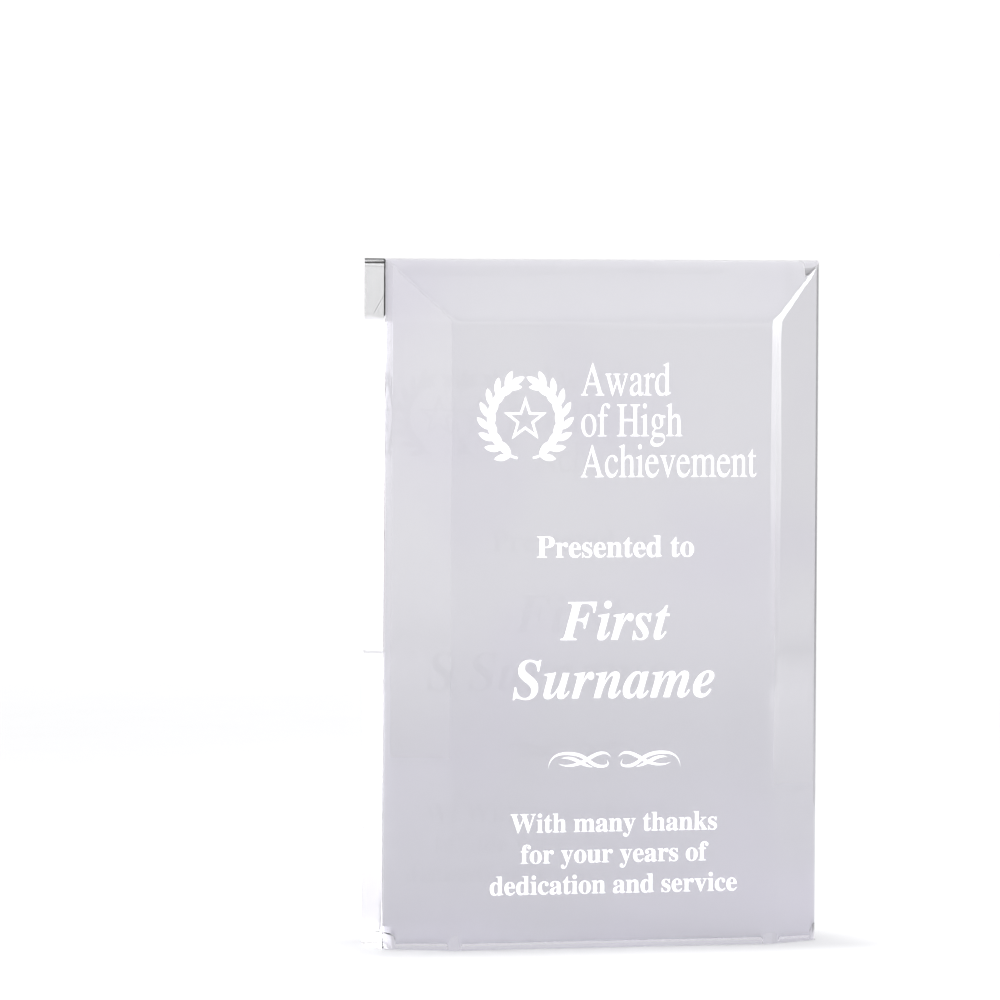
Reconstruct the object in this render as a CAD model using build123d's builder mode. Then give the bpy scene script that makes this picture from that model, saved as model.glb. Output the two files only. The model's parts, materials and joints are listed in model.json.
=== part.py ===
from build123d import *
import math
import os

# Bevelled crystal award: a clear free-standing block. Its front face is bevelled along the top
# and down both sides and is square at the foot, so the whole footprint carries the weight.
# The inscription is sandblasted into the front face and filled with white enamel, which
# stands just proud of the crystal. Millimetres, +Z up, front face towards -Y, and the
# origin at the middle of the footprint.

# ---- Block ----
block_width = 101.6
block_height = 152.4
block_thickness = 25.4
bevel_width = 13.5           # how far each bevel runs in across the front
bevel_depth = 8.0            # how far it falls back by the time it reaches the edge
ridge_radius = 8.0           # polishing rounds the shallow ridges between bevels and face
back_arris = 0.3             # small flat that keeps the outline of the back from chipping

# ---- Engraving ----
engraving_depth = 0.3
fill_proud = 0.05            # how far the white fill stands out of the crystal
fill_thickness = engraving_depth + fill_proud

# The face drawing: x runs to the right across the face, y runs up it from the foot.
face_plane = Plane(origin=(0, -block_thickness / 2, 0), x_dir=(1, 0, 0), z_dir=(0, -1, 0))
engraving_floor = face_plane.offset(-engraving_depth)

# ---- Lettering ----
font_folder = "/opt/of/lib/matplotlib/mpl-data/fonts/ttf"
roman_letters = os.path.join(font_folder, "STIXGeneral.ttf")
bold_letters = os.path.join(font_folder, "STIXGeneralBol.ttf")
bold_italic_letters = os.path.join(font_folder, "STIXGeneralBolIta.ttf")
baseline_drop = 0.30         # of the letter size, from a text's own middle to its baseline

title_size = 10.6
title_squeeze = 0.73         # the title is set in narrow letters
title_left = -8.4
title_pitch = 9.05
title_top_baseline = 122.4

presented_size = 6.95
presented_baseline = 86.6

name_size = 12.6
name_pitch = 12.9
name_top_baseline = 68.3

message_size = 6.1
message_pitch = 6.85
message_top_baseline = 25.8

# ---- Emblem ----
emblem_middle = (-21.2, 117.0)
wreath_radius = 8.6
wreath_start = -78.0         # where each branch starts and ends, in degrees from level
wreath_end = 64.0
leaves_per_side = 8
leaf_length = 3.9
leaf_width = 1.45
leaf_splay = 33.0            # how far each leaf turns out from the stem
stem_width = 0.5
star_radius = 5.2
star_inner_ratio = 0.40
star_line = 0.70             # inner star as a share of the outer one, which leaves a thick line
star_points = 5

# ---- Flourish ----
flourish_height = 41.7
flourish_stroke = 0.75       # the widest part of each stroke

# The strokes of the left half, from the outer tip towards the middle.
flourish_strokes = [
    [(-15.4, -1.7), (-13.9, 0.9), (-10.6, 1.5), (-7.0, 0.5), (-3.6, -1.4), (-1.6, -1.0), (-1.9, 0.1)],
    [(-13.2, -0.7), (-10.4, -1.2), (-7.2, -0.3), (-4.3, 1.2), (-2.2, 1.5), (-0.9, 0.6)],
    [(-12.4, 0.4), (-9.8, 0.3), (-7.4, -0.8), (-5.0, -1.6)],
]


def text_outline(words, letters, size, baseline, squeeze=1.0, left=None):
    """One line of lettering on the floor of the engraving, centred or starting at left."""
    sideways = TextAlign.CENTER if left is None else TextAlign.LEFT
    with BuildSketch(mode=Mode.PRIVATE) as flat:
        with Locations((0, baseline_drop * size)):
            Text(words, size, font_path=letters, text_align=(sideways, TextAlign.CENTER))
        scale(by=(squeeze, 1, 1), about=(0, 0, 0))
    with BuildSketch(engraving_floor) as outline:
        with Locations((left or 0, baseline)):
            add(flat.sketch)
    return outline.sketch


def star_outline():
    """A five-pointed star drawn as one thick line."""
    corners = []
    for corner in range(2 * star_points):
        reach = star_radius if corner % 2 == 0 else star_radius * star_inner_ratio
        turn = math.radians(90 + corner * 180 / star_points)
        corners.append((reach * math.cos(turn), reach * math.sin(turn)))
    inner = [(star_line * x, star_line * y) for x, y in corners]
    with BuildSketch(engraving_floor) as outline:
        with Locations(emblem_middle):
            Polygon(*corners, align=None)
            Polygon(*inner, align=None, mode=Mode.SUBTRACT)
    return outline.sketch


def laurel_outline(side):
    """One laurel branch: a curved stem with pairs of leaves. The side is 1 for right, -1 for left."""
    with BuildSketch(mode=Mode.PRIVATE) as leaf:
        with BuildLine():
            ThreePointArc((0, 0), (leaf_length / 2, leaf_width / 2), (leaf_length, 0))
            ThreePointArc((leaf_length, 0), (leaf_length / 2, -leaf_width / 2), (0, 0))
        make_face()

    middle_x, middle_y = emblem_middle
    step = (wreath_end - wreath_start) / leaves_per_side
    leaf_places = [(wreath_end, 0)]
    for pair in range(leaves_per_side):
        along = wreath_start + step * (pair + 0.6)
        leaf_places += [(along, -leaf_splay), (along, leaf_splay)]

    with BuildSketch(engraving_floor) as outline:
        with BuildLine():
            start = wreath_start if side > 0 else 180 - wreath_end
            CenterArc(emblem_middle, wreath_radius, start, wreath_end - wreath_start)
        trace(line_width=stem_width)
        for along, splay in leaf_places:
            around = along if side > 0 else 180 - along
            root = (middle_x + wreath_radius * math.cos(math.radians(around)),
                    middle_y + wreath_radius * math.sin(math.radians(around)), 0)
            with Locations(Location(root, (0, 0, around + side * (90 + splay)))):
                add(leaf.sketch)
    return outline.sketch


def flourish_outline(side):
    """Half of the flourish: pen strokes that swell in the middle and end in points."""
    with BuildSketch(engraving_floor) as outline:
        for stroke in flourish_strokes:
            last = len(stroke) - 1
            upper = []
            lower = []
            for place, (x, y) in enumerate(stroke):
                before = stroke[max(place - 1, 0)]
                after = stroke[min(place + 1, last)]
                run = math.hypot(after[0] - before[0], after[1] - before[1])
                swell = flourish_stroke / 2 * math.sin(math.pi * place / last)
                step_x = -(after[1] - before[1]) / run * swell
                step_y = (after[0] - before[0]) / run * swell
                upper.append((side * -(x + step_x), flourish_height + y + step_y))
                lower.append((side * -(x - step_x), flourish_height + y - step_y))
            with BuildLine():
                Spline(*upper)
                Spline(*lower)
            make_face()
    return outline.sketch


# ---- Inscription, one outline for each piece of white fill ----
inscription = {
    "emblem_star": star_outline(),
    "emblem_left_laurel": laurel_outline(-1),
    "emblem_right_laurel": laurel_outline(1),
    "presented_line": text_outline("Presented to", bold_letters, presented_size, presented_baseline),
    "left_flourish": flourish_outline(-1),
    "right_flourish": flourish_outline(1),
}

title_words = ["Award", "of High", "Achievement"]
for row, words in enumerate(title_words):
    inscription[f"title_line_{row + 1}"] = text_outline(
        words, roman_letters, title_size, title_top_baseline - row * title_pitch, title_squeeze, title_left)

name_words = ["First", "Surname"]
for row, words in enumerate(name_words):
    inscription[f"name_line_{row + 1}"] = text_outline(
        words, bold_italic_letters, name_size, name_top_baseline - row * name_pitch)

message_words = ["With many thanks", "for your years of", "dedication and service"]
for row, words in enumerate(message_words):
    inscription[f"message_line_{row + 1}"] = text_outline(
        words, bold_letters, message_size, message_top_baseline - row * message_pitch)

# ---- Crystal block ----
with BuildPart() as crystal_block:
    with BuildSketch(Plane.XY):
        Rectangle(block_width, block_thickness)
    extrude(amount=block_height)

    # The front face is framed by bevels along its top and down both sides, mitred at the corners.
    front = crystal_block.faces().sort_by(Axis.Y)[0]
    framed_edges = front.edges().sort_by(Axis.Z)[1:]
    chamfer(framed_edges, length=bevel_width, length2=bevel_depth, reference=front)

    # Polishing rounds the ridges where the bevels meet the face and each other.
    front = crystal_block.faces().sort_by(Axis.Y)[0]
    ridges = front.edges().sort_by(Axis.Z)[1:]
    mitres = ShapeList(
        edge for edge in crystal_block.edges()
        if min(abs(edge.tangent_at(0).X), abs(edge.tangent_at(0).Y), abs(edge.tangent_at(0).Z)) > 0.05
    )
    fillet(ridges + mitres, radius=ridge_radius)

    # A fine arris runs round the back.
    back = crystal_block.faces().sort_by(Axis.Y)[-1]
    chamfer(back.edges(), length=back_arris)

    engraved = [face for outline in inscription.values() for face in outline.faces()]
    extrude(engraved, amount=fill_thickness, mode=Mode.SUBTRACT)

crystal_block.part.label = "crystal_block"

os.makedirs("parts", exist_ok=True)
export_step(crystal_block.part, "parts/crystal_block.step")

# ---- White fill ----
for name, outline in inscription.items():
    with BuildPart() as white_fill:
        extrude(outline, amount=fill_thickness)
    white_fill.part.label = name
    export_step(white_fill.part, f"parts/{name}.step")
    box = white_fill.part.bounding_box()
    print(f"{name}: x {box.min.X:.1f} to {box.max.X:.1f}, z {box.min.Z:.1f} to {box.max.Z:.1f}, "
          f"{len(white_fill.part.solids())} solids")
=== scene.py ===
"""Looks for a crystal award: a bevelled clear block with an engraved inscription filled in white."""

import json
import math

import bpy
import numpy as np
from mathutils import Matrix, Vector


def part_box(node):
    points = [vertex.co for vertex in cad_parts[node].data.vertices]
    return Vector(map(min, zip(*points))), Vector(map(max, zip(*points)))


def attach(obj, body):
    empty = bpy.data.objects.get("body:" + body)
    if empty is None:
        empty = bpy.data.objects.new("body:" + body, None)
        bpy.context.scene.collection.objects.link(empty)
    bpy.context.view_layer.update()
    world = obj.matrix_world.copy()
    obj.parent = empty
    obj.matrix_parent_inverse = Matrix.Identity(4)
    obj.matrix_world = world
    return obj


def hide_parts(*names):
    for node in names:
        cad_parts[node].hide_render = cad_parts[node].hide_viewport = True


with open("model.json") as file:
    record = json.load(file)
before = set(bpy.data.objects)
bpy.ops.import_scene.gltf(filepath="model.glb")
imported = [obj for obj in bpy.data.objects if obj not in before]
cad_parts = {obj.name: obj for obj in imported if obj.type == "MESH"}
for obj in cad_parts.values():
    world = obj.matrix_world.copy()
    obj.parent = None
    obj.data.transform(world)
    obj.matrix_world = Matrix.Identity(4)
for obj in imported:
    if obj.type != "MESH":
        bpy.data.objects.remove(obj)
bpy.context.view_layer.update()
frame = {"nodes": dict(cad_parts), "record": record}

bl_info = {
    "name": "Crystal award",
    "version": (1, 0, 0),
    "blender": (4, 5, 0),
    "location": "3D View > Sidebar > Award",
    "description": "Makes the crystal block, the white inscription and the studio around them",
    "category": "Object",
}

MM = 0.001
BLOCK_LOW, BLOCK_HIGH = (Vector(corner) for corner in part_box("crystal_block"))
FILL_NODES = [
    part["node"] for part in frame["record"]["subparts"] if part["material_slot"] == "white_fill"
]

# ---- Shape ----
EDGE_RINGS = 6                        # rings of points across the rounding of the outer edges
RIDGE_LEFT, RIDGE_RIGHT = 0.44, 1.0   # share of the ridge's rounding at the far left and right
RIDGE_TURN = 12 * MM                  # how gradually it changes over the middle
RIDGE_WAVES = [                       # share, length and start of the unevenness along a ridge
    (0.10, 7.3 * MM, 0.6),
    (0.07, 3.1 * MM, 0.0),
]

# ---- Finish ----
# The crystal is painted darker towards the foot, as shade; these set where that painted shade gives way to
# the top's colour.
FOOT_SHADE_START, FOOT_SHADE_END = 0.02, 0.80     # of the height, where the foot's colour gives way to the top's
FOOT_SHADE_SWAY = 20 * MM                   # how far clouds push that change up and down
CLOUD_SIZE = 60 * MM
VIOLET_SIZE = 34 * MM
VIOLET_SHARE = 0.45
HAZE_SIZE = 18 * MM
HAZE_ROUGHNESS = 0.012
WAVE_SIZE = 26 * MM
# The side faces are painted a lighter colour, so that they read brighter.
SIDE_RIM = 0.3 * MM                   # the side faces' colour starts this far in from them
PATCH_SIZE = 2.4 * MM                 # thin patches of the enamel

# ---- Studio ----
AIR_GAP = 0.2 * MM                    # between the award and the floor
PANEL_GAP = 1 * MM                    # between a panel and the floor
FIBRE_SIZE = 30 * MM
# Painted shade greys the floor round the award and fades out between these distances.
SHADE_POOL_START, SHADE_POOL_END = 0.65, 1.6      # metres from the award, where the floor's greyer pool fades out
SHADE_POOL_SHARE = 0.25
FLOOR_RINGS = 24
FLOOR_SIDES = 72
SENSOR_WIDTH = 36.0

# ---- Sockets that go by number ----
OBJECT_PLACE = 3
MIX_FIRST, MIX_SECOND, MIX_RESULT = 6, 7, 2


# ---- Sizes and colours that a user would change ----
class CrystalSettings(bpy.types.PropertyGroup):
    """Sizes and colours of the crystal block."""

    bevel_width: bpy.props.FloatProperty(
        name="Bevel width", description="How far each bevel runs in across the front",
        default=13.5 * MM, unit="LENGTH")
    bevel_depth: bpy.props.FloatProperty(
        name="Bevel depth", description="How far each bevel falls back at the edge of the block",
        default=8.0 * MM, unit="LENGTH")
    ridge_reach: bpy.props.FloatProperty(
        name="Ridge reach", description="How far polishing rounds a ridge, to each side of it",
        default=2.1 * MM, unit="LENGTH")
    mitre_sharpness: bpy.props.FloatProperty(
        name="Mitre sharpness", description="Share of the rounding that a mitre loses by its outer corner",
        default=0.72, subtype="FACTOR")
    edge_reach: bpy.props.FloatProperty(
        name="Edge reach", description="How far polishing rounds the outer edge of the bevels",
        default=2.2 * MM, unit="LENGTH")
    arris: bpy.props.FloatProperty(
        name="Arris", description="Fine flat along the foot and round the back",
        default=0.3 * MM, unit="LENGTH")
    fine_step: bpy.props.FloatProperty(
        name="Fine step", description="Spacing of the surface's grid over the bevels",
        default=0.2 * MM, unit="LENGTH")
    coarse_step: bpy.props.FloatProperty(
        name="Coarse step", description="Spacing of the surface's grid over the flat face",
        default=6.0 * MM, unit="LENGTH")
    top_tint: bpy.props.FloatVectorProperty(
        name="Top tint", description="Colour of the crystal at the top of the block",
        default=(0.690, 0.683, 0.718), subtype="COLOR")
    # The foot's colour is the top's colour darkened by painted shade.
    shaded_foot_tint: bpy.props.FloatVectorProperty(
        name="Foot tint", description="Colour of the crystal at the foot of the block",
        default=(0.535, 0.527, 0.575), subtype="COLOR")
    cloud_tint: bpy.props.FloatVectorProperty(
        name="Cloud tint", description="Colour of the faint violet clouds in the crystal",
        default=(0.590, 0.560, 0.665), subtype="COLOR")
    # A lighter colour painted on the side faces, so that they read brighter.
    lightened_side_tint: bpy.props.FloatVectorProperty(
        name="Side tint", description="Colour of the crystal's clear side faces",
        default=(0.96, 0.96, 0.965), subtype="COLOR")
    refraction: bpy.props.FloatProperty(
        name="Refraction", description="Index of refraction of the crystal", default=1.49)


class EnamelSettings(bpy.types.PropertyGroup):
    """Colours of the white fill."""

    white: bpy.props.FloatVectorProperty(
        name="White", description="Colour of the enamel where it lies thick",
        default=(0.93, 0.93, 0.94), subtype="COLOR")
    thin: bpy.props.FloatVectorProperty(
        name="Thin white", description="Colour of the enamel where it lies thin over the blasted crystal",
        default=(0.80, 0.80, 0.83), subtype="COLOR")
    grain: bpy.props.FloatProperty(
        name="Grain", description="Size of the grain that the blasting leaves",
        default=0.25 * MM, unit="LENGTH")


class StudioSettings(bpy.types.PropertyGroup):
    """The floor, the lights and the camera."""

    camera_azimuth: bpy.props.FloatProperty(
        name="Camera azimuth", description="Turn of the camera round the award",
        default=math.radians(-18.29), subtype="ANGLE")
    camera_elevation: bpy.props.FloatProperty(
        name="Camera elevation", description="Height of the camera above the level",
        default=math.radians(2.632), subtype="ANGLE")
    camera_distance: bpy.props.FloatProperty(
        name="Camera distance", description="From the middle of the award to the camera",
        default=1.7267, unit="LENGTH")
    camera_lens: bpy.props.FloatProperty(
        name="Camera lens", description="Focal length in millimetres", default=278.79)
    aim_left: bpy.props.FloatProperty(
        name="Aim left", description="Turn of the camera to the left of the award's middle",
        default=math.radians(0.7255), subtype="ANGLE")
    aim_up: bpy.props.FloatProperty(
        name="Aim up", description="Turn of the camera above the award's middle",
        default=math.radians(0.7457), subtype="ANGLE")
    camera_roll: bpy.props.FloatProperty(
        name="Camera roll", description="Turn of the camera about its own line of sight",
        default=math.radians(0.3427), subtype="ANGLE")
    room_light: bpy.props.FloatProperty(
        name="Room light", description="Brightness of the white room", default=1.12)
    floor_radius: bpy.props.FloatProperty(
        name="Floor radius", description="Radius of the round floor", default=300.0, unit="LENGTH")
    # A soft shadow painted on the floor at the award's foot.
    shadow_reach: bpy.props.FloatProperty(
        name="Shadow reach", description="How far the soft shadow at the foot reaches",
        default=20 * MM, unit="LENGTH")
    shadow_depth: bpy.props.FloatProperty(
        name="Shadow depth", description="How dark the soft shadow at the foot is",
        default=0.30, subtype="FACTOR")
    key_light: bpy.props.FloatProperty(
        name="Key light", description="Brightness of the softbox to the front right", default=13.1)
    key_foot: bpy.props.FloatProperty(
        name="Key foot", description="Brightness of that softbox where it stands on the floor", default=1.6)
    flag_light: bpy.props.FloatProperty(
        name="Flag light", description="Brightness of the grey card behind, to the left", default=0.42)
    flag_foot: bpy.props.FloatProperty(
        name="Flag foot", description="Brightness of that card where it stands on the floor", default=0.80)


# ---- Material nodes ----
class Wire:
    """One socket of a node tree. Arithmetic on wires adds Math nodes to the tree."""

    def __init__(self, tree, socket=None):
        self.tree = tree
        self.socket = socket

    def node(self, kind, settings=None, sockets=None, output=0):
        """Adds a node, with its settings first and then the values or wires of its sockets."""
        made = self.tree.nodes.new(kind)
        for key, value in (settings or {}).items():
            setattr(made, key, value)
        for key, value in (sockets or {}).items():
            if isinstance(value, Wire):
                self.tree.links.new(value.socket, made.inputs[key])
            else:
                made.inputs[key].default_value = value
        return Wire(self.tree, made.outputs[output] if made.outputs else None)

    def math(self, operation, first, second=0.0):
        """A Math node with one or two inputs."""
        return self.node("ShaderNodeMath", {"operation": operation}, {0: first, 1: second})

    def __add__(self, other):
        return self.math("ADD", self, other)

    def __sub__(self, other):
        return self.math("SUBTRACT", self, other)

    def __rsub__(self, other):
        return self.math("SUBTRACT", other, self)

    def __mul__(self, other):
        return self.math("MULTIPLY", self, other)

    __radd__ = __add__
    __rmul__ = __mul__

    def smooth_step(self, low, high):
        """0 below low and 1 above high, with a smooth rise between them."""
        sockets = {"Value": self, "From Min": low, "From Max": high}
        return self.node("ShaderNodeMapRange", {"interpolation_type": "SMOOTHSTEP"}, sockets)

    def mix(self, first, second):
        """A blend of two colours, with this wire as the share of the second."""
        sockets = {"Factor": self, MIX_FIRST: colour(first), MIX_SECOND: colour(second)}
        return self.node("ShaderNodeMix", {"data_type": "RGBA"}, sockets, MIX_RESULT)


def colour(value):
    """A colour with its alpha, or the wire that brings one."""
    return value if isinstance(value, Wire) else (*value, 1.0)


def new_material(name):
    """A material with an empty node tree, and the wire that its nodes are added through."""
    material = bpy.data.materials.new(name)
    material.use_nodes = True
    material.node_tree.nodes.clear()
    return material, Wire(material.node_tree)


def place_wires(nodes):
    """The object's own coordinates in metres: the whole place, and its three parts."""
    place = nodes.node("ShaderNodeTexCoord", output=OBJECT_PLACE)
    parts = [nodes.node("ShaderNodeSeparateXYZ", None, {0: place}, part) for part in range(3)]
    return place, *parts


def noise(nodes, place, size, detail=3.0, stretch=(1.0, 1.0, 1.0)):
    """Noise from 0 to 1 whose lumps are about as large as the size given, in metres."""
    scale = tuple(factor / size for factor in stretch)
    scaled = nodes.node("ShaderNodeVectorMath", {"operation": "MULTIPLY"}, {0: place, 1: scale})
    return nodes.node("ShaderNodeTexNoise", None, {"Vector": scaled, "Scale": 1.0, "Detail": detail})


def crystal_material(settings):
    """Clear crystal with a faint violet cast, painted shade that darkens it towards the foot, side faces
    painted lighter so that they read brighter, and the last trace of polishing.
    """
    material, nodes = new_material("clear_crystal")
    place, across, _, up = place_wires(nodes)
    height = BLOCK_HIGH.z
    clouds = noise(nodes, place, CLOUD_SIZE, 2.0, (1.0, 1.0, 0.6))
    swayed = up + (clouds - 0.5) * FOOT_SHADE_SWAY
    # Painted shade: the colour darkens from the top's to the foot's.
    depth = 1 - swayed.smooth_step(FOOT_SHADE_START * height, FOOT_SHADE_END * height)
    tint = depth.mix(settings.top_tint, settings.shaded_foot_tint)
    violet = noise(nodes, place, VIOLET_SIZE, 1.0).smooth_step(0.45, 0.75)
    tint = (violet * VIOLET_SHARE).mix(tint, settings.cloud_tint)
    # Painted light: the side faces get a lighter colour, so that they read brighter.
    outer = nodes.math("ABSOLUTE", across).smooth_step(BLOCK_HIGH.x - SIDE_RIM, BLOCK_HIGH.x)
    tint = outer.mix(tint, settings.lightened_side_tint)
    haze = noise(nodes, place, HAZE_SIZE, 4.0).smooth_step(0.55, 0.85)
    waves = noise(nodes, place, WAVE_SIZE, 1.0)
    bump = nodes.node(
        "ShaderNodeBump", None, {"Strength": 0.04, "Distance": 0.2 * MM, "Height": waves})
    shader = nodes.node("ShaderNodeBsdfPrincipled", None, {
        "Base Color": tint,
        "Roughness": haze * HAZE_ROUGHNESS,
        "IOR": settings.refraction,
        "Transmission Weight": 1.0,
        "Normal": bump,
    })
    nodes.node("ShaderNodeOutputMaterial", None, {"Surface": shader})
    return material


def enamel_material(settings):
    """Satin white enamel over a blasted floor: a fine grain, and thinner and greyer in small patches."""
    material, nodes = new_material("white_fill")
    place = place_wires(nodes)[0]
    patches = noise(nodes, place, PATCH_SIZE, 3.0).smooth_step(0.50, 0.72)
    grain = noise(nodes, place, settings.grain, 2.0)
    tint = (patches * 0.5 + grain * 0.2).mix(settings.white, settings.thin)
    bump = nodes.node(
        "ShaderNodeBump", None, {"Strength": 0.35, "Distance": 0.05 * MM, "Height": grain})
    shader = nodes.node("ShaderNodeBsdfPrincipled", None, {
        "Base Color": tint,
        "Roughness": 0.38 + grain * 0.22,
        "IOR": 1.5,
        "Normal": bump,
    })
    nodes.node("ShaderNodeOutputMaterial", None, {"Surface": shader})
    return material


# ---- Surfaces ----
def new_piece(name, points, faces, material):
    """An object at the origin, from an array of points and a list of each face's corner numbers."""
    mesh = bpy.data.meshes.new(name)
    mesh.from_pydata(points.tolist(), [], faces)
    mesh.materials.append(material)
    piece = bpy.data.objects.new(name, mesh)
    bpy.context.scene.collection.objects.link(piece)
    return piece


def grid_lines(stops, steps):
    """Places along a side: each stretch between two stops is divided evenly, into pieces no longer
    than the stretch's own step."""
    stretches = []
    for start, end, step in zip(stops, stops[1:], steps):
        stretches.append(np.linspace(start, end, math.ceil((end - start) / step) + 1)[:-1])
    return np.concatenate([*stretches, stops[-1:]])


def grid_faces(rows, columns):
    """The four corners of every cell of a grid, counted row by row."""
    index = np.arange(rows * columns).reshape(rows, columns)
    corners = [index[:-1, :-1], index[:-1, 1:], index[1:, 1:], index[1:, :-1]]
    return np.stack([corner.ravel() for corner in corners], axis=1)


def grid_outline(rows, columns):
    """The grid's outer points in order: along the foot, up the right, back along the top, down the left."""
    index = np.arange(rows * columns).reshape(rows, columns)
    return np.concatenate([index[0, :-1], index[:-1, -1], index[-1, :0:-1], index[:0:-1, 0]])


def strip_faces(first, second):
    """The faces between two closed rings of points, given as their numbers."""
    return np.stack([first, second, np.roll(second, -1), np.roll(first, -1)], axis=1)


def soft_maximum(first, second, reach):
    """The larger of two heights, rounded where they meet: max(a, b) + (reach - |a - b|)^2 / (4 reach),
    where the last term counts only while a and b differ by less than reach."""
    overlap = np.clip(reach - np.abs(first - second), 0, None)
    return np.maximum(first, second) + overlap ** 2 / (4 * reach)


def front_depth(x, z, settings):
    """How far the front falls back behind its flat face: the soft maximum of 0, of the side bevels,
    slope * (|x| - inner half width), and of the top bevel, slope * (z - inner height). The rounding
    breathes slightly along each ridge, as hand polishing leaves it. It is broader on the right, and
    tightens along each mitre."""
    slope = settings.bevel_depth / settings.bevel_width
    side = slope * (np.abs(x) - BLOCK_HIGH.x + settings.bevel_width)
    top = slope * (z - BLOCK_HIGH.z + settings.bevel_width)
    breath = 1 + sum(share * np.sin((x + z) / length + start) for share, length, start in RIDGE_WAVES)
    worn = (RIDGE_RIGHT + RIDGE_LEFT + (RIDGE_RIGHT - RIDGE_LEFT) * np.tanh(x / RIDGE_TURN)) / 2
    reach = slope * settings.ridge_reach * breath * worn
    fall = np.clip(np.maximum(side, top) / settings.bevel_depth, 0, 1)
    mitred = soft_maximum(side, top, reach * (1 - settings.mitre_sharpness * fall))
    return soft_maximum(mitred, 0.0, reach)


def block_surface(settings):
    """The block's points and faces: a front grid, rings that round its outer edge, a ring where the back
    arris starts, and a back grid with the same rows and columns. Each ring of the rounding is a step
    along the curve (1-s)^2 A + 2s(1-s) B + s^2 C, where A is on the bevel, B on the sharp edge and C on
    the side. Returns how many of the faces are rounded or lie in front, too: they come first."""
    width, height = BLOCK_HIGH.x, BLOCK_HIGH.z
    front_y, back_y = BLOCK_LOW.y, BLOCK_HIGH.y
    fine_band = settings.bevel_width + 1.5 * settings.ridge_reach
    steps = [settings.fine_step, settings.coarse_step, settings.fine_step]
    x_lines = grid_lines(np.array([-width, fine_band - width, width - fine_band, width]), steps)
    z_lines = grid_lines(np.array([0.0, height - fine_band, height]), steps[1:])
    x, z = np.meshgrid(x_lines, z_lines)

    def shrunk(side_gap, foot_gap):
        return x * (1 - side_gap / width), foot_gap + z * (1 - (side_gap + foot_gap) / height)

    front_x, front_z = shrunk(settings.edge_reach, settings.arris)
    front = np.stack([front_x, front_y + front_depth(front_x, front_z, settings), front_z], axis=-1)
    back_x, back_z = shrunk(settings.arris, settings.arris)
    back = np.stack([back_x, np.full_like(x, back_y), back_z], axis=-1)

    rows, columns = x.shape
    outline = grid_outline(rows, columns)
    edge_x, edge_z = x.ravel()[outline], z.ravel()[outline]
    sharp = np.stack([edge_x, front_y + front_depth(edge_x, edge_z, settings), edge_z], axis=1)
    on_foot = (edge_z == 0) & (np.abs(edge_x) < width)
    fall = np.where(on_foot, settings.arris, settings.edge_reach)
    side = sharp + np.outer(fall, (0, 1, 0))
    far = np.stack([edge_x, np.full_like(edge_x, back_y - settings.arris), edge_z], axis=1)
    start = front.reshape(-1, 3)[outline]
    share = np.linspace(0, 1, EDGE_RINGS + 1)[1:, None, None]
    rings = (1 - share) ** 2 * start + 2 * share * (1 - share) * sharp + share ** 2 * side

    points = np.concatenate([front.reshape(-1, 3), back.reshape(-1, 3), rings.reshape(-1, 3), far])
    cells = grid_faces(rows, columns)
    back_start = rows * columns
    ring_numbers = 2 * back_start + np.arange((EDGE_RINGS + 1) * len(outline)).reshape(-1, len(outline))
    edges = [outline, *ring_numbers[:-1]]
    rounded = [cells, *(strip_faces(first, second) for first, second in zip(edges, edges[1:]))]
    flat = [
        strip_faces(edges[-1], ring_numbers[-1]),
        strip_faces(ring_numbers[-1], outline + back_start),
        cells[:, ::-1] + back_start,
    ]
    return points, np.concatenate([*rounded, *flat]), sum(len(faces) for faces in rounded)


# ---- Operators ----
class AWARD_OT_crystal(bpy.types.Operator):
    """Makes the bevelled crystal block"""

    bl_idname = "award.crystal"
    bl_label = "Crystal block"

    def execute(self, context):
        settings = context.scene.award_crystal
        points, faces, rounded_count = block_surface(settings)
        block = new_piece("bevelled_block", points, faces.tolist(), crystal_material(settings))
        smooth = np.arange(len(faces)) < rounded_count
        block.data.polygons.foreach_set("use_smooth", smooth)
        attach(block, "root")
        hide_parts("crystal_block")
        # Clear crystal hardly darkens the floor round it.
        block.visible_shadow = False
        return {"FINISHED"}


class AWARD_OT_inscription(bpy.types.Operator):
    """Gives the white fill of the inscription its enamel"""

    bl_idname = "award.inscription"
    bl_label = "White inscription"

    def execute(self, context):
        enamel = enamel_material(context.scene.award_enamel)
        for name in FILL_NODES:
            fill = frame["nodes"][name]
            for slot in fill.material_slots:
                slot.material = enamel
            # Most reflections in the block leave the lettering out.
            fill.visible_glossy = False
        return {"FINISHED"}


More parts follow.
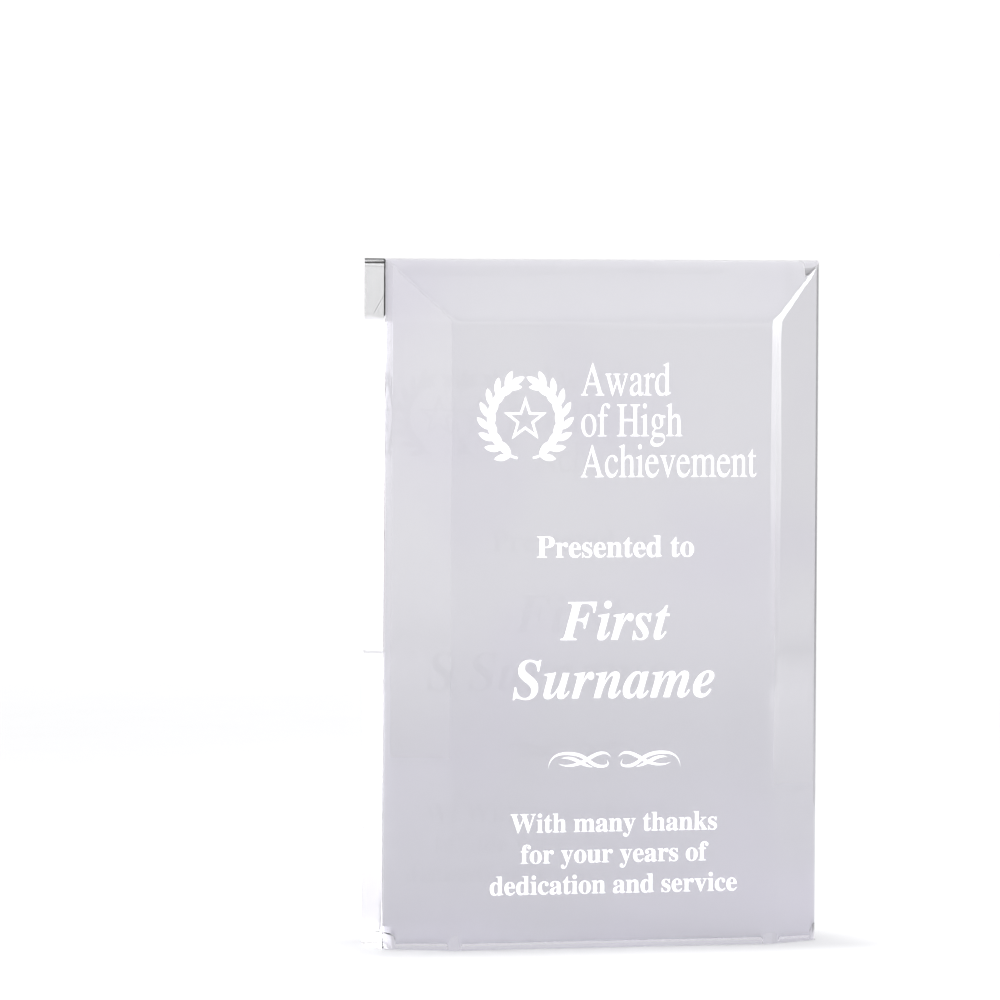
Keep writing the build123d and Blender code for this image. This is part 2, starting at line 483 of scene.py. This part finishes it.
def make_floor(settings):
    """A round floor of pale paper with a painted soft shadow at the award's foot and painted shade that
    greys it round the award.
    Its rings have the radius R t^3, so that they crowd to the middle, which one face closes."""
    material, nodes = new_material("studio_floor")
    place, across, along, _ = place_wires(nodes)
    fibres = noise(nodes, place, FIBRE_SIZE, 4.0)
    paper = fibres.mix((0.90, 0.90, 0.905), (0.925, 0.925, 0.93))
    past_side = nodes.math("MAXIMUM", nodes.math("ABSOLUTE", across) - BLOCK_HIGH.x, 0.0)
    past_face = nodes.math("MAXIMUM", nodes.math("ABSOLUTE", along) - BLOCK_HIGH.y, 0.0)
    away = nodes.math("SQRT", past_side * past_side + past_face * past_face)
    # Painted shadow at the award's foot.
    painted_shadow = 1 - away.smooth_step(0.0, settings.shadow_reach)
    # Painted shade that greys the floor round the award.
    shade_pool = 1 - away.smooth_step(SHADE_POOL_START, SHADE_POOL_END)
    paper = (shade_pool * SHADE_POOL_SHARE).mix(paper, (0.40, 0.40, 0.42))
    shader = nodes.node("ShaderNodeBsdfPrincipled", None, {
        "Base Color": (painted_shadow * settings.shadow_depth).mix(paper, (0.30, 0.30, 0.33)),
        "Roughness": 0.85,
        "Specular IOR Level": 0.1,
    })
    nodes.node("ShaderNodeOutputMaterial", None, {"Surface": shader})

    radius = settings.floor_radius * np.linspace(0.02, 1, FLOOR_RINGS)[:, None] ** 3
    turn = np.arange(FLOOR_SIDES) * 2 * math.pi / FLOOR_SIDES
    level = np.full((FLOOR_RINGS, FLOOR_SIDES), -AIR_GAP)
    points = np.stack([radius * np.cos(turn), radius * np.sin(turn), level], axis=-1).reshape(-1, 3)
    rings = np.arange(len(points)).reshape(FLOOR_RINGS, FLOOR_SIDES)
    strips = np.concatenate([strip_faces(inner, outer) for inner, outer in zip(rings, rings[1:])])
    return new_piece("floor", points, [*strips.tolist(), rings[0].tolist()], material)


def make_panel(name, bearing, distance, width, height, foot_level, head_level, fade, lights_floor=False):
    """An upright glowing panel, out of the camera's sight, that faces the award from a bearing in
    degrees clockwise from behind it. Its brightness goes from the foot level at the floor to the head
    level at the height where the fade ends."""
    material, nodes = new_material(name)
    rise = place_wires(nodes)[3].smooth_step(PANEL_GAP, PANEL_GAP + fade)
    shader = nodes.node("ShaderNodeEmission", None, {
        "Color": rise.mix((foot_level,) * 3, (head_level,) * 3),
        "Strength": 1.0,
    })
    nodes.node("ShaderNodeOutputMaterial", None, {"Surface": shader})

    turn = math.radians(bearing)
    outward = np.array([math.sin(turn), math.cos(turn)])
    sideways = np.array([math.cos(turn), -math.sin(turn)])
    across, level = np.meshgrid((-width / 2, width / 2), (PANEL_GAP, height))
    plan = outward * distance + across[..., None] * sideways
    points = np.concatenate([plan, level[..., None]], axis=-1).reshape(-1, 3)
    panel = new_piece(name, points, grid_faces(2, 2).tolist(), material)
    panel.visible_camera = False
    panel.visible_shadow = False
    panel.visible_diffuse = lights_floor
    return panel


def make_camera(settings):
    """A camera on a sphere round the award's middle. It looks a little above and to the left of it."""
    middle = Vector((0, 0, BLOCK_HIGH.z / 2))
    turn, lift = settings.camera_azimuth, settings.camera_elevation
    away = Vector((math.sin(turn) * math.cos(lift), -math.cos(turn) * math.cos(lift), math.sin(lift)))
    right = Vector((math.cos(turn), math.sin(turn), 0))
    up = away.cross(right)
    aim = (Matrix((right, up, away)).transposed()
           @ Matrix.Rotation(settings.aim_left, 3, "Y")
           @ Matrix.Rotation(settings.aim_up, 3, "X")
           @ Matrix.Rotation(settings.camera_roll, 3, "Z"))
    camera = bpy.data.objects.new("camera", bpy.data.cameras.new("camera"))
    camera.data.lens = settings.camera_lens
    camera.data.sensor_width = SENSOR_WIDTH
    camera.matrix_world = Matrix.Translation(middle + away * settings.camera_distance) @ aim.to_4x4()
    bpy.context.scene.collection.objects.link(camera)
    bpy.context.scene.camera = camera


class AWARD_OT_studio(bpy.types.Operator):
    """Makes the floor, the white room, the panels and the camera"""

    bl_idname = "award.studio"
    bl_label = "Studio"

    def execute(self, context):
        settings = context.scene.award_studio
        floor = make_floor(settings)
        key = make_panel(
            "key_softbox", bearing=122.5, distance=1.2, width=0.82, height=0.75,
            foot_level=settings.key_foot, head_level=settings.key_light, fade=0.26, lights_floor=True)
        flag = make_panel(
            "grey_flag", bearing=-38, distance=0.34, width=0.5, height=0.2,
            foot_level=settings.flag_foot, head_level=settings.flag_light, fade=0.06)
        card = make_panel(
            "pale_card", bearing=6, distance=0.5, width=0.125, height=0.2,
            foot_level=1.04, head_level=0.98, fade=0.09)
        glow = make_panel(
            "glow_card", bearing=33.2, distance=0.6, width=0.09, height=0.16,
            foot_level=1.045, head_level=1.09, fade=0.05)
        world = bpy.data.worlds.new("white_room")
        world.use_nodes = True
        background = world.node_tree.nodes["Background"]
        background.inputs["Color"].default_value = (1.0, 1.0, 1.0, 1.0)
        background.inputs["Strength"].default_value = settings.room_light
        context.scene.world = world
        context.scene.view_settings.view_transform = "Standard"
        make_camera(settings)
        return {"FINISHED"}


class AWARD_PT_panel(bpy.types.Panel):
    """Lists the makers of the award's pieces"""

    bl_idname = "AWARD_PT_panel"
    bl_label = "Crystal award"
    bl_space_type = "VIEW_3D"
    bl_region_type = "UI"
    bl_category = "Award"

    def draw(self, context):
        for operator in OPERATORS:
            self.layout.operator(operator.bl_idname)
        for name, group in SETTINGS.items():
            box = self.layout.box()
            for key in group.__annotations__:
                box.prop(getattr(context.scene, name), key)


OPERATORS = [AWARD_OT_crystal, AWARD_OT_inscription, AWARD_OT_studio]
SETTINGS = {
    "award_crystal": CrystalSettings,
    "award_enamel": EnamelSettings,
    "award_studio": StudioSettings,
}
CLASSES = [*SETTINGS.values(), *OPERATORS, AWARD_PT_panel]


def register():
    for made_class in CLASSES:
        bpy.utils.register_class(made_class)
    for name, group in SETTINGS.items():
        setattr(bpy.types.Scene, name, bpy.props.PointerProperty(type=group))


def unregister():
    for name in SETTINGS:
        delattr(bpy.types.Scene, name)
    for made_class in reversed(CLASSES):
        bpy.utils.unregister_class(made_class)


def main():
    """Makes every piece in order."""
    register()
    bpy.ops.award.crystal()
    bpy.ops.award.inscription()
    bpy.ops.award.studio()


if __name__ == "__main__":
    main()
